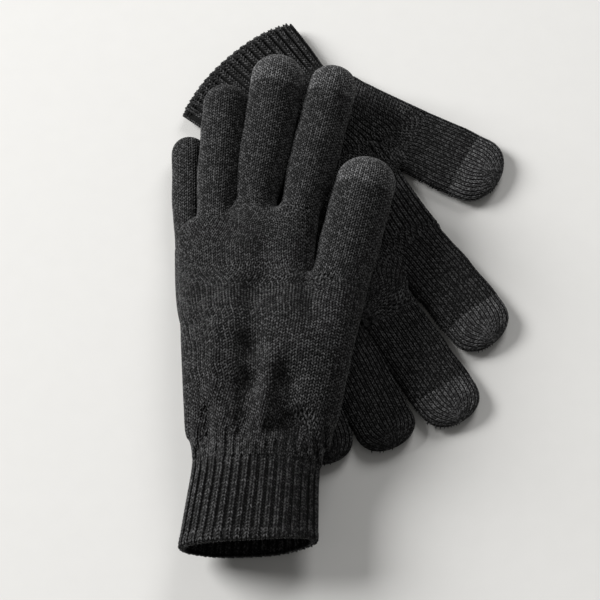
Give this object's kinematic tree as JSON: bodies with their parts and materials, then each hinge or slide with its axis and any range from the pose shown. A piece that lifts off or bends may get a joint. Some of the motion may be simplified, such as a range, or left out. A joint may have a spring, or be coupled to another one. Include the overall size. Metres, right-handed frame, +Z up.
{
  "type": "touchscreen gloves",
  "caption": "Pair of ribbed-cuff knitted gloves, palms up, one lying across the other, with conductive tips on the thumb, index and middle sleeves.",
  "frame": {"origin": "centre of the pair's bounding box, at its base on the surface", "axes": "+Y along the upper glove towards its fingertips, +Z up out of both palms"},
  "size_m": [0.155, 0.2612, 0.036],
  "materials": {
    "yarn": "fine stocking-stitch knit in black brushed yarn",
    "rib_yarn": "one by one rib in the same black yarn",
    "touch_yarn": "dark grey conductive knit, a little smoother",
    "elastic": "covered elastic thread"
  },
  "bodies": {
    "left glove": {"left_cuff_elastic_1": "elastic", "left_cuff_elastic_2": "elastic", "left_cuff_elastic_3": "elastic", "left_cuff_hem": "rib_yarn", "left_cuff_rib": "rib_yarn", "left_little_finger": "yarn", "left_lower_palm": "yarn", "left_ring_finger": "yarn", "left_upper_palm": "yarn"},
    "right glove": {"right_cuff_elastic_1": "elastic", "right_cuff_elastic_2": "elastic", "right_cuff_elastic_3": "elastic", "right_cuff_hem": "rib_yarn", "right_cuff_rib": "rib_yarn", "right_lower_palm": "yarn", "right_upper_palm": "yarn"},
    "left thumb": {"left_thumb": "yarn", "left_thumb_tip": "touch_yarn"},
    "left index finger": {"left_index_finger": "yarn", "left_index_tip": "touch_yarn"},
    "left middle finger": {"left_middle_finger": "yarn", "left_middle_tip": "touch_yarn"},
    "right thumb": {"right_thumb": "yarn", "right_thumb_tip": "touch_yarn"},
    "right index finger": {"right_index_finger": "yarn", "right_index_tip": "touch_yarn"},
    "right middle finger": {"right_middle_finger": "yarn", "right_middle_tip": "touch_yarn"},
    "right ring finger": {"right_ring_finger": "yarn"},
    "right little finger": {"right_little_finger": "yarn"}
  },
  "joints": [
    {"name": "right glove lift", "type": "slide", "parent": "left glove", "child": "right glove", "axis": [0, 0, 1], "range_m": [0, 0.12]},
    {"name": "left thumb fold", "type": "hinge", "parent": "left glove", "child": "left thumb", "pos_m": [0.03585, 0.0701, 0.00378], "axis": [-0.4695, -0.8829, 0], "range_deg": [0, 60]},
    {"name": "left index finger fold", "type": "hinge", "parent": "left glove", "child": "left index finger", "pos_m": [0.03411, 0.01787, 0.00385], "axis": [-0.7826, -0.6225, 0], "range_deg": [0, 70]},
    {"name": "left middle finger fold", "type": "hinge", "parent": "left glove", "child": "left middle finger", "pos_m": [0.02418, -0.01865, 0.00375], "axis": [-0.8526, -0.5225, 0], "range_deg": [0, 70]},
    {"name": "right thumb fold", "type": "hinge", "parent": "right glove", "child": "right thumb", "pos_m": [0.00059, -0.01167, 0.0245], "axis": [0.9728, -0.2317, 0], "range_deg": [0, 60]},
    {"name": "right index finger fold", "type": "hinge", "parent": "right glove", "child": "right index finger", "pos_m": [-0.01688, 0.02433, 0.022], "axis": [0.9728, -0.2317, 0], "range_deg": [0, 65]},
    {"name": "right middle finger fold", "type": "hinge", "parent": "right glove", "child": "right middle finger", "pos_m": [-0.03726, 0.02629, 0.0204], "axis": [0.9882, -0.153, 0], "range_deg": [0, 70]},
    {"name": "right ring finger fold", "type": "hinge", "parent": "right glove", "child": "right ring finger", "pos_m": [-0.05544, 0.01978, 0.0192], "axis": [0.9991, -0.0419, 0], "range_deg": [0, 70]},
    {"name": "right little finger fold", "type": "hinge", "parent": "right glove", "child": "right little finger", "pos_m": [-0.07038, 0.0134, 0.0094], "axis": [0.9999, 0.0105, 0], "range_deg": [0, 70]}
  ]
}
